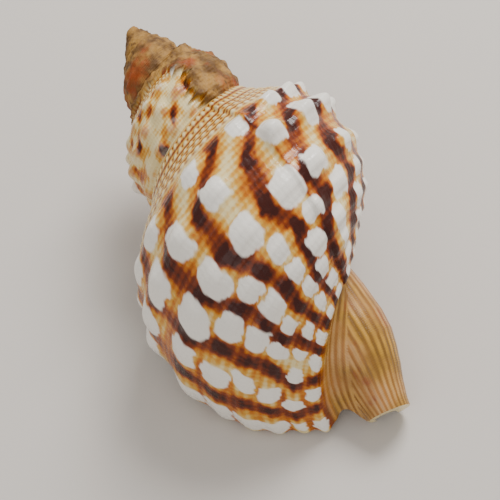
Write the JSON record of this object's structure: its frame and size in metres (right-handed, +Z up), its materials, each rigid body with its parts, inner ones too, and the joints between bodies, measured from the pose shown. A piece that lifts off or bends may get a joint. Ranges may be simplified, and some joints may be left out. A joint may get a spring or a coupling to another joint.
{
  "type": "triton shell",
  "caption": "Large knobbed sea snail shell with a worn spire, lying on its open side.",
  "frame": {"origin": "centre of the bounding box's underside, on the surface that the shell rests on", "axes": "+Y towards the apex, +Z up, out of the back of the shell, and the lip on the -X side"},
  "size_m": [0.1014, 0.1668, 0.0806],
  "materials": {
    "shell": "glossy porcelain-like shell, white knobs on caramel and dark brown bands, with a rough tan spire"
  },
  "bodies": {
    "root": {"shell": "shell"}
  },
  "joints": []
}
